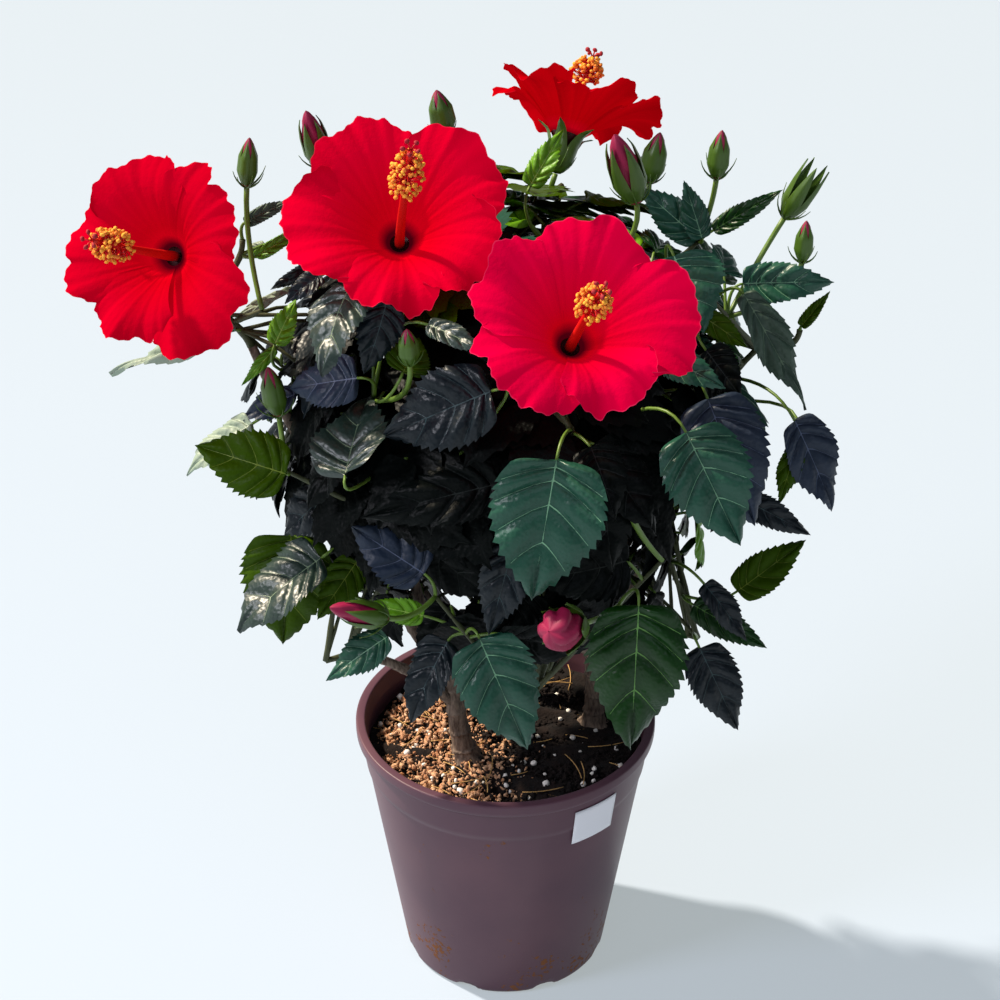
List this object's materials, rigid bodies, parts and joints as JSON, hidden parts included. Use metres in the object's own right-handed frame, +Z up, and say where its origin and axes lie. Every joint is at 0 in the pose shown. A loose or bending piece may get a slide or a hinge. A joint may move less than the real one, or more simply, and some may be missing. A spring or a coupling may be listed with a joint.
{
  "type": "potted hibiscus shrub",
  "caption": "Bushy flowering pot shrub: woody stems and boughs, clumps of toothed leaves, open red blooms and buds, in a tapered plastic pot of soil.",
  "frame": {"origin": "middle of the flat underside of the pot, where it stands", "axes": "+Z up along the pot's axis, -Y toward the front, the side with the open blooms, +X to the right"},
  "size_m": [0.436, 0.3216, 0.6055],
  "materials": {
    "pot": "satin",
    "label": "matte",
    "soil": "matte",
    "bark": "rough",
    "leaves": "satin"
  },
  "bodies": {
    "root": {"pot": "pot", "soil": "soil", "label": "label", "stem_left": "bark", "stem_right": "bark", "stem_back": "bark", "bough_low_left": "bark", "bough_left": "bark", "bough_front_left": "bark", "bough_outer_left": "bark", "bough_top_left": "bark", "bough_low_right": "bark", "bough_low_front": "bark", "bough_right": "bark", "bough_front": "bark", "bough_top_right": "bark", "bough_low_back": "bark", "bough_back_left": "bark", "bough_back_right": "bark", "bough_top_back": "bark", "foliage_low_left": "leaves", "foliage_left": "leaves", "foliage_front_left": "leaves", "foliage_outer_left": "leaves", "foliage_top_left": "leaves", "foliage_low_right": "leaves", "foliage_low_front": "leaves", "foliage_right": "leaves", "foliage_front": "leaves", "foliage_top_right": "leaves", "foliage_low_back": "leaves", "foliage_back_left": "leaves", "foliage_back_right": "leaves", "foliage_top_back": "leaves"}
  },
  "joints": []
}
